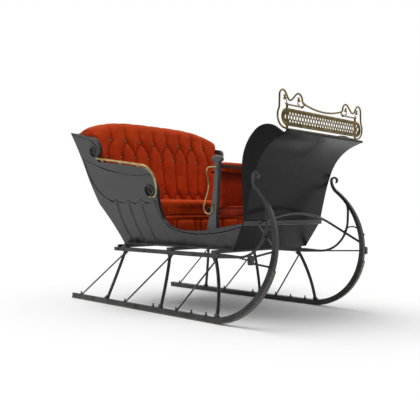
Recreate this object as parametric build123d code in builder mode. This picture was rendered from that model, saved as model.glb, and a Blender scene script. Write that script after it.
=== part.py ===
# A horse drawn sleigh of the Albany kind: flared sides, a tufted rear bench, a light front seat,
# a rolled dash with a brass rein rail and two gooseneck runners on leaning planes.
# Frame: +X is the way of travel, +Y is left, Z is up, in millimetres.
# Stations along the sleigh are counted from the heel of the runners and set about the middle by at().
import os
from math import atan, copysign, cos, degrees, radians, sin, sqrt, tan
from build123d import *

os.makedirs("parts", exist_ok=True)

# overall
length = 2190          # heel of the runners to the lip of the dash
track = 1120           # runner to runner at the floor
sides = (("right", -1), ("left", 1))

# runners and their steel shoes
lean = 0.117           # inward lean of a runner, run over rise
runner_width = 30
runner_depth = 34
shoe_depth = 8
curl_station = 1660    # where the straight of a runner ends
curl_radius = 480
shoe_turn = 75         # degrees of the curl that the shoe follows

# knees, beams and bolsters
beam_in = 46.86        # how far a beam's middle stands inside the runner's line
beam_width = 36
beam_low = 420
beam_top = 449
beam_rear = 475
beam_front = 1660
beam_tip = 1815
knee_radius = 12
stay_radius = 6
bolster_width = 44
# station of the knee's foot, of its top, forward bow, and station of the stay's foot
knees = (("rear", 478, 604, 4, 114), ("middle", 1131, 1136, 10, 712), ("front", 1697, 1595, 26, 1300))

# body
body_low = 470
floor_thick = 14
body_half = 400        # outer half width at the bottom
flare = 0.385          # outward run over rise of the rear part of a side
wall = 28
back_wall = 16
lining = 25
groove_width = 8
sweep_width = 13       # the broad line that falls from the rear edge
groove_depth = 6

# dash
dash_foot = (1717, 470)
dash_bend = (1827, 655)
dash_thick = 14
dash_out = 28          # how far the dash stands out beyond the bottom of the body
cheek_thick = 12

# rear seat
bench_front = 1064
arm_past = 40          # how far the arms reach ahead of the bench
seat_board_low = 684
seat_board_top = 698
cushion_top = 814
back_lean = 0.165      # rearward run over rise of the rear seat's back
back_face = 585        # station of the back's face at the seat board
pad_gap = 28           # between the padded panels of the riser
pad_edge = 1.39        # from the outer panels to the sides, at the floor
pad_thick = 12

# front seat
standard_gap = 3       # between an end standard and the side beside it
standard_thick = 30
slab_rear = 1457
slab_front = 1530
slab_low = 752
roll_low = 1008
roll_top = 1066
seat_front = 1770
front_board_low = 736
front_board_top = 750
leg_station = 1688
leg_half = 250

# brass
arm_rail_radius = 7.5
grab_radius = 5
rein_station = 2147
rein_radius = 6
lattice_mid = 1318
lattice_half = 457
lattice_high = 110
lattice_thick = 6

# shaft couplings
eye_station = 2075
eye_out = 143.48       # how far a shaft eye stands outside the runner's line
eye_high = 440
eye_bore = 8
eye_size = (34, 24, 56)

floor_top = body_low + floor_thick
dash_half = body_half + dash_out
flare_change = bench_front + arm_past      # station where the flare begins to close
flare_front = dash_out / (dash_bend[1] - dash_foot[1])


def at(station):
    return station - length / 2


def side_half(z, slope=flare):
    return body_half + slope * (z - body_low)


standard_half = side_half(floor_top, flare_front) - wall - standard_gap

def steps(start, heading, runs):
    # a run is a line, given as radius 0 and a length, or a tangent arc, given as a radius and a turn
    x, y, h = start[0], start[1], radians(heading)
    found = []
    for radius, amount in runs:
        first = (x, y, h)
        if radius == 0:
            half = (x + cos(h) * amount / 2, y + sin(h) * amount / 2, h)
            last = (x + cos(h) * amount, y + sin(h) * amount, h)
        else:
            turn = radians(amount)
            r = copysign(radius, turn)
            cx, cy = x - r * sin(h), y + r * cos(h)
            half = (cx + r * sin(h + turn / 2), cy - r * cos(h + turn / 2), h + turn / 2)
            last = (cx + r * sin(h + turn), cy - r * cos(h + turn), h + turn)
        found.append((radius, first, half, last))
        x, y, h = last
    return found


def draw(path):
    for radius, first, half, last in path:
        if radius == 0:
            Line(first[:2], last[:2])
        else:
            ThreePointArc(first[:2], half[:2], last[:2])


def beside(p, off):
    return (p[0] - sin(p[2]) * off, p[1] + cos(p[2]) * off)


def draw_edge(path, off):
    # the line that runs beside a path at a steady distance
    for radius, first, half, last in path:
        if radius == 0:
            Line(beside(first, off), beside(last, off))
        else:
            ThreePointArc(beside(first, off), beside(half, off), beside(last, off))


def draw_bar(path, thicks):
    # both edges of a bar along a path, with its thickness at the start and at each run's end
    for hand in (1, -1):
        for (radius, first, half, last), t0, t1 in zip(path, thicks, thicks[1:]):
            a = beside(first, hand * t0 / 2)
            m = beside(half, hand * (t0 + t1) / 4)
            b = beside(last, hand * t1 / 2)
            if radius == 0:
                Line(a, b)
            else:
                ThreePointArc(a, m, b)
    for p, t in ((path[0][1], thicks[0]), (path[-1][3], thicks[-1])):
        Line(beside(p, t / 2), beside(p, -t / 2))


def draw_arcs(start, arcs):
    # a chain of three-point arcs in the side view, each given by its middle and its end
    here = start
    for middle, end in arcs:
        ThreePointArc((at(here[0]), here[1]), (at(middle[0]), middle[1]), (at(end[0]), end[1]))
        here = end
    return here


def runner_plane(k):
    rise = sqrt(1 + lean * lean)
    return Plane(origin=(0, k * track / 2, 0), x_dir=(1, 0, 0), z_dir=(0, -1 / rise, -k * lean / rise))


def runner_half(z):
    return track / 2 - lean * z


beam_half = runner_half(beam_low) - beam_in
eye_half = runner_half(eye_high) + eye_out


# runners: one tapered bar, straight, round the toe, back over and into a small curl
runner_start = (at(0), shoe_depth + runner_depth / 2)
runner_runs = (
    (0, curl_station),
    (curl_radius, shoe_turn),
    (curl_radius, 142 - shoe_turn),
    (105, -52),
    (25, -150),
    (19, -95),
)
runner_thicks = (runner_depth, runner_depth, runner_depth, 20, 15, 12, 10)
neck = ((0, 20), (560, 17), (880, 9), (1100, 7))      # half the width of a runner at a height
runner_path = steps(runner_start, 0, runner_runs)
runners = {}
for side, k in sides:
    with BuildPart() as runner:
        with BuildSketch(runner_plane(k)):
            with BuildLine():
                draw_bar(runner_path, runner_thicks)
            make_face()
        extrude(amount=runner_width / 2, both=True)
        with BuildSketch(Plane.YZ):
            with BuildLine():
                outer_edge = [(k * (runner_half(z) + half), z) for z, half in neck]
                inner_edge = [(k * (runner_half(z) - half), z) for z, half in reversed(neck)]
                Polyline(*outer_edge, *inner_edge, close=True)
            make_face()
        extrude(amount=length, both=True, mode=Mode.INTERSECT)
    runner.part.label = f"runner_{side}"
    export_step(runner.part, f"parts/runner_{side}.step")
    runners[side] = runner.part

# shoes: a steel strip under each runner, ground flat where it stands on the snow
shoe_tilt = lean * runner_width / 2
shoe_path = steps((at(0), (shoe_depth - shoe_tilt) / 2), 0, ((0, curl_station), (curl_radius, shoe_turn)))
for side, k in sides:
    with BuildPart() as shoe:
        with BuildSketch(runner_plane(k)):
            with BuildLine():
                low = -shoe_tilt
                radius = curl_radius + runner_depth / 2
                toe = steps((at(curl_station), shoe_depth), 0, ((radius, shoe_turn),))[0]
                tip = beside(toe[3], -shoe_depth)
                Line((at(0), shoe_depth), (at(curl_station), shoe_depth))
                ThreePointArc(toe[1][:2], toe[2][:2], toe[3][:2])
                Line(toe[3][:2], tip)
                ThreePointArc(tip, beside(toe[2], -shoe_depth), (at(curl_station), 0))
                Line((at(curl_station), 0), (at(curl_station), low))
                Line((at(curl_station), low), (at(0), low))
                Line((at(0), low), (at(0), shoe_depth))
            make_face()
        extrude(amount=runner_width / 2, both=True)
        split(bisect_by=Plane.XY, keep=Keep.TOP)
    shoe.part.label = f"shoe_{side}"
    export_step(shoe.part, f"parts/shoe_{side}.step")

# beams: a bar each side that carries the body, drawn down to a thin tongue in front
beams = {}
for side, k in sides:
    with BuildPart() as beam:
        with BuildSketch(Plane.XZ.offset(-k * beam_half)):
            with BuildLine():
                Polyline(
                    (at(beam_rear), beam_low),
                    (at(beam_front), beam_low),
                    (at(beam_tip), beam_low + 8),
                    (at(beam_tip), beam_top - 7),
                    (at(beam_front), beam_top),
                    (at(beam_rear), beam_top),
                    close=True,
                )
            make_face()
        extrude(amount=beam_width / 2, both=True)
    beam.part.label = f"beam_{side}"
    export_step(beam.part, f"parts/beam_{side}.step")
    beams[side] = beam.part

# knees: a bowed post from runner to beam, and a thin stay that runs from it back down to the runner
runner_top = shoe_depth + runner_depth
for side, k in sides:
    for place, foot, top, bow, stay in knees:
        low = (at(foot), k * runner_half(runner_top), runner_top - 10)
        high = (at(top), k * beam_half, beam_low + 10)
        middle_half = (runner_half(runner_top) + beam_half) / 2
        middle = (at((foot + top) / 2 + bow), k * middle_half, (low[2] + high[2]) / 2)
        stay_foot = (at(stay), k * runner_half(runner_top), runner_top - 8)
        with BuildPart() as knee:
            with BuildLine():
                bent = ThreePointArc(low, middle, high)
            with BuildSketch(Plane(origin=bent @ 0, z_dir=bent % 0)):
                Circle(knee_radius)
            sweep(path=bent)
            add(runners[side], mode=Mode.SUBTRACT)
            add(beams[side], mode=Mode.SUBTRACT)
        knee.part.label = f"knee_{place}_{side}"
        export_step(knee.part, f"parts/knee_{place}_{side}.step")
        with BuildPart() as stay_rod:
            with BuildLine():
                thin = Line(stay_foot, bent @ 0.93)
            with BuildSketch(Plane(origin=thin @ 0, z_dir=thin % 0)):
                Circle(stay_radius)
            sweep(path=thin)
            add(runners[side], mode=Mode.SUBTRACT)
            add(knee.part, mode=Mode.SUBTRACT)
        stay_rod.part.label = f"stay_{place}_{side}"
        export_step(stay_rod.part, f"parts/stay_{place}_{side}.step")

# bolsters: cross bars on the beams under the floor
for place, foot, top, bow, stay in knees:
    with BuildPart() as bolster:
        with Locations((at(top), 0, beam_top)):
            Box(
                bolster_width,
                2 * beam_half + beam_width,
                body_low - beam_top,
                align=(Align.CENTER, Align.CENTER, Align.MIN),
            )
    bolster.part.label = f"bolster_{place}"
    export_step(bolster.part, f"parts/bolster_{place}.step")

# a round rod across the beams behind the rear bolster
rod_radius = (body_low - beam_top) / 2
with BuildPart() as rear_rod:
    with BuildSketch(Plane.XZ):
        with Locations((at(beam_rear + 45), beam_top + rod_radius)):
            Circle(rod_radius)
    extrude(amount=beam_half + 12, both=True)
rear_rod.part.label = "rear_rod"
export_step(rear_rod.part, "parts/rear_rod.step")


def dash_station(z):
    run = (dash_bend[0] - dash_foot[0]) / (dash_bend[1] - dash_foot[1])
    return dash_foot[0] + run * (z - dash_foot[1])


dash_slant = sqrt(1 + ((dash_bend[0] - dash_foot[0]) / (dash_bend[1] - dash_foot[1])) ** 2)
dash_run = dash_thick * dash_slant      # thickness of the lower dash along X

# floor
rear_foot = 505
with BuildPart() as floor:
    with BuildSketch(Plane.XZ):
        with BuildLine():
            Polyline(
                (at(rear_foot), body_low),
                (at(dash_station(body_low) - dash_run), body_low),
                (at(dash_station(floor_top) - dash_run), floor_top),
                (at(rear_foot), floor_top),
                close=True,
            )
        make_face()
    extrude(amount=side_half(floor_top), both=True)
floor.part.label = "floor"
export_step(floor.part, "parts/floor.step")

# side view of a side: up the rear edge, over the wing, along the arm, round its front, down the entry
side_start = (rear_foot, floor_top)
side_arcs = (
    ((428, 645), (334, 789)),
    ((303, 929), (290, 1080)),
    ((275, 1220), (246, 1363)),
    ((362, 1341), (478, 1311)),
    ((566, 1237), (504, 1160)),
    ((488, 1138), (510, 1119)),
    ((760, 1090), (990, 1055)),
    ((1066, 1018), (1099, 945)),
    ((1100, 893), (1082, 842)),
    ((1066, 765), (1070, 696)),
    ((1087, 658), (1125, 632)),
    ((1185, 607), (1262, 599)),
    ((1431, 599), (1591, 621)),
)


def wall_sections(k, off, thick, low, high):
    # quads across a flared wall, from the rear to the front, one sketch each
    found = []
    for station, slope in ((200, flare), (flare_change, flare), (dash_bend[0], flare_front)):
        with BuildSketch(Plane.YZ.offset(at(station))) as quad:
            with BuildLine():
                a = side_half(low, slope) - off
                b = side_half(high, slope) - off
                Polyline(
                    (k * a, low), (k * b, high), (k * (b - thick), high), (k * (a - thick), low), close=True
                )
            make_face()
        found.append(quad.sketch)
    return found


# lines carved in the outer face of a side, each a start and its arcs: a line under the arm, three scallops,
# three lines that fall from them, the lower edge of the rim in front, and a broad sweep from the rear edge
fine_lines = (
    ((297, 1153), (((628, 1043), (1069, 999)),)),
    ((574, 827), (((638, 798), (722, 821)),)),
    ((722, 821), (((796, 794), (879, 821)),)),
    ((879, 821), (((947, 794), (1036, 812)),)),
    ((573, 806), (((574, 640), (655, 474)),)),
    ((722, 796), (((732, 640), (798, 474)),)),
    ((879, 787), (((883, 640), (941, 474)),)),
    ((1043, 812), (((1040, 730), (1072, 664)), ((1120, 618), (1200, 590)))),
    ((1200, 590), (((1337, 574), (1498, 577)), ((1660, 599), (1790, 628)))),
)
sweeps = (((300, 1129), (((350, 929), (498, 818)), ((540, 813), (574, 827)))),)
carvings = {}
for side, k in sides:
    with BuildPart() as carving:
        loft(wall_sections(k, 0, groove_depth, floor_top, 1400), ruled=True)
        with BuildSketch(Plane.XZ):
            for width, lines in ((groove_width, fine_lines), (sweep_width, sweeps)):
                for start, arcs in lines:
                    with BuildLine():
                        draw_arcs(start, arcs)
                trace(line_width=width)
        extrude(amount=1000, both=True, mode=Mode.INTERSECT)
    carvings[side] = carving.part

body_sides = {}
for side, k in sides:
    with BuildPart() as body_side:
        loft(wall_sections(k, 0, wall, floor_top, 1400), ruled=True)
        with BuildSketch(Plane.XZ):
            with BuildLine():
                end = draw_arcs(side_start, side_arcs)
                Polyline(
                    (at(end[0]), end[1]),
                    (at(dash_bend[0] - dash_run), dash_bend[1]),
                    (at(dash_station(floor_top) - dash_run), floor_top),
                    (at(rear_foot), floor_top),
                )
            make_face()
        extrude(amount=1000, both=True, mode=Mode.INTERSECT)
        add(carvings[side], mode=Mode.SUBTRACT)
    body_side.part.label = f"side_{side}"
    export_step(body_side.part, f"parts/side_{side}.step")
    body_sides[side] = body_side.part

# back: a curved panel between the sides, arched along its top
inner_low = side_half(floor_top) - wall
back_top = 1345
back_crown = 1440
shoulder_half = 410     # where the flat middle of the arch goes over into its shoulders
inner_top = side_half(back_top) - wall
back_start = (rear_foot + 6, floor_top)
back_arcs = (((434, 645), (340, 789)), ((309, 929), (296, 1080)), ((281, 1220), (252, 1363)))
back_tip = (236, 1450)


def draw_arch(half, end_z, crown, drop):
    # the arched top of the back, from left to right: a shoulder, the flat middle and a shoulder
    shoulder = crown - drop
    bulge = ((half + shoulder_half) / 2 + 20, (end_z + shoulder) / 2 + 14)
    ThreePointArc((half, end_z), bulge, (shoulder_half, shoulder))
    ThreePointArc((shoulder_half, shoulder), (0, crown), (-shoulder_half, shoulder))
    ThreePointArc((-shoulder_half, shoulder), (-bulge[0], bulge[1]), (-half, end_z))


with BuildPart() as back_panel:
    with BuildSketch(Plane.XZ):
        with BuildLine():
            inner_start = (back_start[0] + back_wall + 4, floor_top)
            inner_arcs = [((m[0] + back_wall, m[1]), (e[0] + back_wall, e[1])) for m, e in back_arcs]
            for start, arcs in ((back_start, back_arcs), (inner_start, inner_arcs)):
                end = draw_arcs(start, arcs)
                Line((at(end[0]), end[1]), (at(end[0] + back_tip[0] - back_arcs[-1][1][0]), back_tip[1]))
            Line((at(back_tip[0]), back_tip[1]), (at(back_tip[0] + back_wall), back_tip[1]))
            Line((at(inner_start[0]), floor_top), (at(back_start[0]), floor_top))
        make_face()
    extrude(amount=900, both=True)
    with BuildSketch(Plane.YZ):
        with BuildLine():
            Polyline(
                (-inner_top, back_top),
                (-inner_low, floor_top),
                (inner_low, floor_top),
                (inner_top, back_top),
            )
            draw_arch(inner_top, back_top, back_crown, 15)
        make_face()
    extrude(amount=2000, both=True, mode=Mode.INTERSECT)
back_panel.part.label = "back_panel"
export_step(back_panel.part, "parts/back_panel.step")

# lower dash: a flat slanted panel that closes the front of the body
with BuildPart() as dash_low:
    with BuildSketch(Plane.XZ):
        with BuildLine():
            Polyline(
                (at(dash_foot[0]), dash_foot[1]),
                (at(dash_bend[0]), dash_bend[1]),
                (at(dash_bend[0] - dash_run), dash_bend[1]),
                (at(dash_foot[0] - dash_run), dash_foot[1]),
                close=True,
            )
        make_face()
    extrude(amount=500, both=True)
    with BuildSketch(Plane.YZ):
        with BuildLine():
            Polyline(
                (-dash_half, dash_bend[1]),
                (-body_half, dash_foot[1]),
                (body_half, dash_foot[1]),
                (dash_half, dash_bend[1]),
                close=True,
            )
        make_face()
    extrude(amount=2000, both=True, mode=Mode.INTERSECT)
dash_low.part.label = "dash_lower"
export_step(dash_low.part, "parts/dash_lower.step")

# upper dash: swept up and forward, with a rolled lip
dash_skin = 12
dash_start = (at(dash_bend[0]) - dash_skin / 2, dash_bend[1])
dash_runs = ((3440, -3.6), (1230, -7.8), (327, -48.3), (0, 30), (0, 35.45))
dash_path = steps(dash_start, 78.7, dash_runs)
lip_radius = 9
with BuildPart() as dash_high:
    with BuildSketch(Plane.XZ):
        with BuildLine():
            draw_bar(dash_path, [dash_skin] * (len(dash_runs) + 1))
        make_face()
        with Locations(dash_path[-1][3][:2]):
            Circle(lip_radius)
    extrude(amount=dash_half, both=True)
    split(bisect_by=Plane.XY.offset(dash_bend[1]), keep=Keep.TOP)
dash_high.part.label = "dash_upper"
export_step(dash_high.part, "parts/dash_upper.step")

# cheeks: leaf shaped boards that stand behind the two ends of the dash
cheek_foot = beside(dash_path[0][1], dash_skin / 2)
cheek_tip = beside(dash_path[3][3], dash_skin / 2)
for side, k in sides:
    with BuildPart() as cheek:
        with BuildSketch(Plane.XZ.offset(-k * (dash_half - cheek_thick / 2))):
            with BuildLine():
                draw_edge(dash_path[:4], dash_skin / 2)
                end = draw_arcs(
                    (cheek_foot[0] + length / 2, cheek_foot[1]),
                    (((1808, 820), (1804, 1008)), ((1833, 1160), (1925, 1266)), ((2010, 1288), (2090, 1262))),
                )
                Line((at(end[0]), end[1]), cheek_tip)
            make_face()
        extrude(amount=cheek_thick / 2, both=True)
    cheek.part.label = f"cheek_{side}"
    export_step(cheek.part, f"parts/cheek_{side}.step")

# moulding across the front at the bend of the dash
with BuildPart() as moulding:
    with BuildSketch(Plane.XZ):
        with Locations((at(dash_bend[0]) + 1, dash_bend[1] - 8), (at(dash_bend[0]) + 5, dash_bend[1] + 10)):
            Circle(8)
        with Locations((at(dash_bend[0]) + 3, dash_bend[1])):
            Rectangle(9, 16)
    extrude(amount=dash_half + 8, both=True)
    add(dash_low.part, mode=Mode.SUBTRACT)
    add(dash_high.part, mode=Mode.SUBTRACT)
moulding.part.label = "dash_moulding"
export_step(moulding.part, "parts/dash_moulding.step")


def rod(line, radius):
    # a round rod along one edge or a chain of edges
    with BuildSketch(Plane(origin=line @ 0, z_dir=line % 0)) as section:
        Circle(radius)
    sweep(sections=section.sketch, path=line)


# rear seat: riser with a row of padded panels, seat board, cushion and tufted back
riser_half_low = side_half(floor_top) - wall
riser_half_top = side_half(seat_board_low) - wall
with BuildPart() as riser:
    with BuildSketch(Plane.YZ.offset(at(bench_front - 16))):
        with BuildLine():
            Polyline(
                (-riser_half_low, floor_top),
                (riser_half_low, floor_top),
                (riser_half_top, seat_board_low),
                (-riser_half_top, seat_board_low),
                close=True,
            )
        make_face()
    extrude(amount=16)
riser.part.label = "seat_riser"
export_step(riser.part, "parts/seat_riser.step")

pad_pitch = (riser_half_low - pad_edge + pad_gap / 2) / 1.5
for number, y in (("right", -pad_pitch), ("middle", 0), ("left", pad_pitch)):
    with BuildPart() as pad:
        with BuildSketch(Plane.YZ.offset(at(bench_front))):
            with Locations((y, (floor_top + seat_board_low) / 2)):
                RectangleRounded(pad_pitch - pad_gap, seat_board_low - floor_top - 24, 24)
        extrude(amount=pad_thick)
        fillet(pad.faces().sort_by(Axis.X)[-1].edges(), pad_thick * 0.7)
    pad.part.label = f"riser_pad_{number}"
    export_step(pad.part, f"parts/riser_pad_{number}.step")

board_half = side_half(seat_board_low) - wall
with BuildPart() as seat_board:
    with BuildSketch(Plane.XY.offset(seat_board_low)):
        with Locations((at((416 + bench_front) / 2), 0)):
            Rectangle(bench_front - 416, 2 * board_half)
    extrude(amount=seat_board_top - seat_board_low)
    add(back_panel.part, mode=Mode.SUBTRACT)
seat_board.part.label = "seat_board"
export_step(seat_board.part, "parts/seat_board.step")


def back_station(z):
    return back_face - back_lean * (z - seat_board_top)


cushion_half = side_half(seat_board_top) - wall - lining
with BuildPart() as cushion:
    with BuildSketch(Plane.XZ):
        with BuildLine():
            Polyline(
                (at(back_station(seat_board_top)), seat_board_top),
                (at(bench_front + 6), seat_board_top),
                (at(bench_front + 6), cushion_top),
                (at(back_station(cushion_top)), cushion_top),
                close=True,
            )
        make_face()
    extrude(amount=cushion_half, both=True)
    fillet(cushion.edges().filter_by(Axis.Y).group_by(Axis.X)[-1], 22)
cushion.part.label = "rear_cushion"
export_step(cushion.part, "parts/rear_cushion.step")

tuft_top = 1352
tuft_crown = 1472
tuft_low = side_half(seat_board_top) - wall - lining
tuft_high = side_half(tuft_top) - wall - lining
with BuildPart() as tufted_back:
    with BuildSketch(Plane.XZ):
        with BuildLine():
            Polyline(
                (at(back_station(seat_board_top)), seat_board_top),
                (at(back_station(tuft_crown - 32)), tuft_crown - 32),
                (at(back_station(tuft_crown) - 40), tuft_crown),
                (at(262), tuft_crown),
                (at(262), 1400),
                (at(300), 1200),
                (at(330), 960),
                (at(450), seat_board_top),
                close=True,
            )
        make_face()
    extrude(amount=900, both=True)
    with BuildSketch(Plane.YZ):
        with BuildLine():
            Polyline(
                (-tuft_high, tuft_top),
                (-tuft_low, seat_board_top),
                (tuft_low, seat_board_top),
                (tuft_high, tuft_top),
            )
            draw_arch(tuft_high, tuft_top, tuft_crown, 16)
        make_face()
    extrude(amount=2000, both=True, mode=Mode.INTERSECT)
    add(back_panel.part, mode=Mode.SUBTRACT)
tufted_back.part.label = "rear_tufted_back"
export_step(tufted_back.part, "parts/rear_tufted_back.step")

# arm linings: velvet pads on the inner face of each side, from the seat board to the arm
for side, k in sides:
    with BuildPart() as arm_lining:
        loft(wall_sections(k, wall, lining, seat_board_top, 1400), ruled=True)
        with BuildSketch(Plane.XZ):
            with BuildLine():
                end = draw_arcs(
                    (420, seat_board_top),
                    (
                        ((338, 860), (316, 1080)),
                        ((304, 1200), (280, 1330)),
                        ((370, 1318), (470, 1290)),
                        ((540, 1236), (492, 1170)),
                        ((472, 1130), (500, 1104)),
                        ((760, 1076), (985, 1040)),
                        ((1050, 1006), (1080, 942)),
                        ((1072, 850), (1050, 780)),
                        ((1044, 740), (1046, seat_board_top)),
                    ),
                )
                Line((at(end[0]), end[1]), (at(420), seat_board_top))
            make_face()
        extrude(amount=1000, both=True, mode=Mode.INTERSECT)
        add(back_panel.part, mode=Mode.SUBTRACT)
    arm_lining.part.label = f"arm_lining_{side}"
    export_step(arm_lining.part, f"parts/arm_lining_{side}.step")

# brass arm rails along the outer edge of each arm, on pegs, curled in at the front end
flare_rise = sqrt(1 + flare * flare)
rail_out = 4


def flare_plane(k, out):
    return Plane(
        origin=(0, k * (body_half + out), body_low),
        x_dir=(1, 0, 0),
        z_dir=(0, -1 / flare_rise, k * flare / flare_rise),
    )


def on_flare(station, z):
    return (at(station), (z - body_low) * flare_rise)


rail_fall = 0.15
rail_start = (490, 1149)
arm_slope = degrees(atan(-rail_fall * flare_rise))
arm_path = steps(on_flare(*rail_start), arm_slope, ((0, 531), (118, -82), (220, -26), (64, -72), (0, 16)))
for side, k in sides:
    with BuildPart() as arm_rail:
        with BuildLine(flare_plane(k, rail_out)) as line:
            draw(arm_path)
        rod(line.wire(), arm_rail_radius)
        for station in (540, 760, 960):
            x, y = on_flare(station, rail_start[1] - rail_fall * (station - rail_start[0]))
            with BuildLine(flare_plane(k, rail_out)):
                peg = Line((x, y, 0), (x, y - 34, k * (rail_out + wall / 2)))
            rod(peg, arm_rail_radius - 2)
        add(body_sides[side], mode=Mode.SUBTRACT)
    arm_rail.part.label = f"arm_rail_{side}"
    export_step(arm_rail.part, f"parts/arm_rail_{side}.step")

# front seat: two end standards, a padded back with a roll on top, and a thin board on two legs
standards = {}
for side, k in sides:
    with BuildPart() as standard:
        with BuildSketch(Plane.XZ.offset(-k * (standard_half - standard_thick / 2))):
            with BuildLine():
                end = draw_arcs((1380, floor_top), (((1432, 650), (1466, 790)), ((1486, 920), (1497, 1085))))
                Polyline((at(end[0]), end[1]), (at(1536), 1085), (at(1512), 720), (at(1512), floor_top),
                         (at(1380), floor_top))
            make_face()
            with Locations((at(1513), 1098)):
                SlotOverall(92, 34)
        extrude(amount=standard_thick / 2, both=True)
    standard.part.label = f"front_standard_{side}"
    export_step(standard.part, f"parts/front_standard_{side}.step")
    standards[side] = standard.part

inner_half = standard_half - standard_thick
with BuildPart() as slab:
    with Locations((at((slab_rear + slab_front) / 2), 0, (slab_low + roll_low) / 2)):
        Box(slab_front - slab_rear, 2 * inner_half, roll_low - slab_low)
    fillet(slab.edges().filter_by(Axis.Y).group_by(Axis.Z)[0], 12)
slab.part.label = "front_back_pad"
export_step(slab.part, "parts/front_back_pad.step")

with BuildPart() as roll:
    with BuildSketch(Plane.XZ):
        with Locations((at((slab_rear + slab_front) / 2), (roll_low + roll_top) / 2)):
            RectangleRounded(slab_front - slab_rear + 28, roll_top - roll_low, 26)
    extrude(amount=inner_half, both=True)
roll.part.label = "front_back_roll"
export_step(roll.part, "parts/front_back_roll.step")

with BuildPart() as front_seat:
    with BuildSketch(Plane.XY.offset(front_board_low)):
        with Locations((at((slab_rear + seat_front) / 2), 0)):
            RectangleRounded(seat_front - slab_rear, 2 * inner_half, 30)
    extrude(amount=front_board_top - front_board_low)
    with BuildSketch(Plane.XY.offset(floor_top)):
        with Locations((at(leg_station), -leg_half), (at(leg_station), leg_half)):
            Circle(12)
    extrude(until=Until.NEXT)
front_seat.part.label = "front_seat_board"
export_step(front_seat.part, "parts/front_seat_board.step")

with BuildPart() as front_pad:
    with BuildSketch(Plane.XY.offset(front_board_top)):
        with Locations((at((slab_front + seat_front) / 2 + 2), 0)):
            RectangleRounded(seat_front - slab_front - 12, 2 * inner_half - 12, 30)
    extrude(amount=14)
    fillet(front_pad.faces().sort_by(Axis.Z)[-1].edges(), 8)
front_pad.part.label = "front_seat_pad"
export_step(front_pad.part, "parts/front_seat_pad.step")

# brass grab rails on the outer face of the front standards, hooked at the lower end
grab_path = steps((at(1520), 1045), 180, ((0, 72), (26, 105), (0, 50), (160, -36), (0, 93), (46, 230)))
grab_half = standard_half + grab_radius - 1
for side, k in sides:
    with BuildPart() as grab:
        with BuildLine(Plane.XZ.offset(-k * grab_half)) as line:
            draw(grab_path)
        rod(line.wire(), grab_radius)
        add(standards[side], mode=Mode.SUBTRACT)
    grab.part.label = f"grab_rail_{side}"
    export_step(grab.part, f"parts/grab_rail_{side}.step")

# rein rail: a brass rod with two ears each side and a swag between them, on two posts
rein_runs = (
    (0, 35),
    (72, 110),
    (60, -28),
    (0, 63),
    (34, 143),
    (0, 35),
    (30, -95),
    (0, 55),
    (40, 125),
    (25, -70),
)
post_half = 394
rail_low = 1246
lip = dash_path[-1][3]
rail_foot = lip[1] - (lip[0] - at(rein_station)) * tan(lip[2])      # middle of the dash under the posts
rein_half = steps((post_half, rail_low), 10, rein_runs)
swag_start = rein_half[-1][3]
swag_turn = 15
swag_radius = swag_start[0] / sin(radians(swag_turn))
with BuildPart() as rein:
    for k in (-1, 1):
        plane = Plane(origin=(at(rein_station), 0, 0), x_dir=(0, k, 0), z_dir=(k, 0, 0))
        with BuildLine(plane) as line:
            draw(rein_half)
            draw(steps(swag_start[:2], 180 + swag_turn, ((swag_radius, -swag_turn),)))
        rod(line.wire(), rein_radius)
        with BuildLine(plane) as bar:
            draw(steps((208, 1424), -57, ((0, 20), (22, 57), (0, post_half - 237))))
        rod(bar.wire(), rein_radius - 1)
        with BuildLine(plane):
            post = Line((post_half, rail_foot), (post_half, 1397))
        rod(post, rein_radius + 1.5)
    with BuildLine(Plane.YZ.offset(at(rein_station))):
        low_bar = Line((-post_half, rail_low), (post_half, rail_low))
    rod(low_bar, rein_radius - 0.5)
    add(dash_high.part, mode=Mode.SUBTRACT)
rein.part.label = "rein_rail"
export_step(rein.part, "parts/rein_rail.step")

# lattice: a pierced brass panel with round ends, three rows of lozenges, between the posts of the rail
lattice_pitch = 30
lattice_count = 27
# height of a row off the middle, half the width and half the height of its holes
lattice_rows = ((0, 11.5, 20), (17.5, 9, 11), (-17.5, 9, 11))
with BuildPart() as lattice:
    with BuildSketch(Plane.YZ.offset(at(rein_station) + rein_radius / 2)):
        with Locations((0, lattice_mid)):
            SlotOverall(2 * lattice_half, lattice_high)
        for off, half_wide, half_high in lattice_rows:
            shift = 0 if off == 0 else lattice_pitch / 2
            count = lattice_count if off == 0 else lattice_count - 1
            with Locations((0, lattice_mid + off)):
                with GridLocations(lattice_pitch, 1, count, 1):
                    Polygon((-half_wide, 0), (0, -half_high), (half_wide, 0), (0, half_high),
                            align=None, mode=Mode.SUBTRACT)
    extrude(amount=lattice_thick)
    add(rein.part, mode=Mode.SUBTRACT)
lattice.part.label = "rein_lattice"
export_step(lattice.part, "parts/rein_lattice.step")

# arch rod: from runner to runner, back and up to two corners and over in front of the dash
arch_station = 1930
arch_half = 406
arch_low = 646
arch_top = 720
arch_radius = 9
arch_foot = (2112, 520)
arch_end_half = runner_half(arch_foot[1]) - 4
arch_ends = [(at(arch_foot[0] + 24), k * arch_end_half, arch_foot[1] - 14) for side, k in sides]
arch_bends = [(at(arch_station), k * arch_half, arch_low) for side, k in sides]
with BuildPart() as arch:
    with BuildLine():
        over = ThreePointArc(arch_bends[0], (at(arch_station), 0, arch_top), arch_bends[1])
    rod(over, arch_radius)
    for (side, k), end, bend in zip(sides, arch_ends, arch_bends):
        past = [b + (b - e) * 0.03 for e, b in zip(end, bend)]
        with BuildLine():
            leg = Line(end, tuple(past))
        rod(leg, arch_radius - 0.5)
        add(runners[side], mode=Mode.SUBTRACT)
arch.part.label = "arch_rod"
export_step(arch.part, "parts/arch_rod.step")

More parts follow.
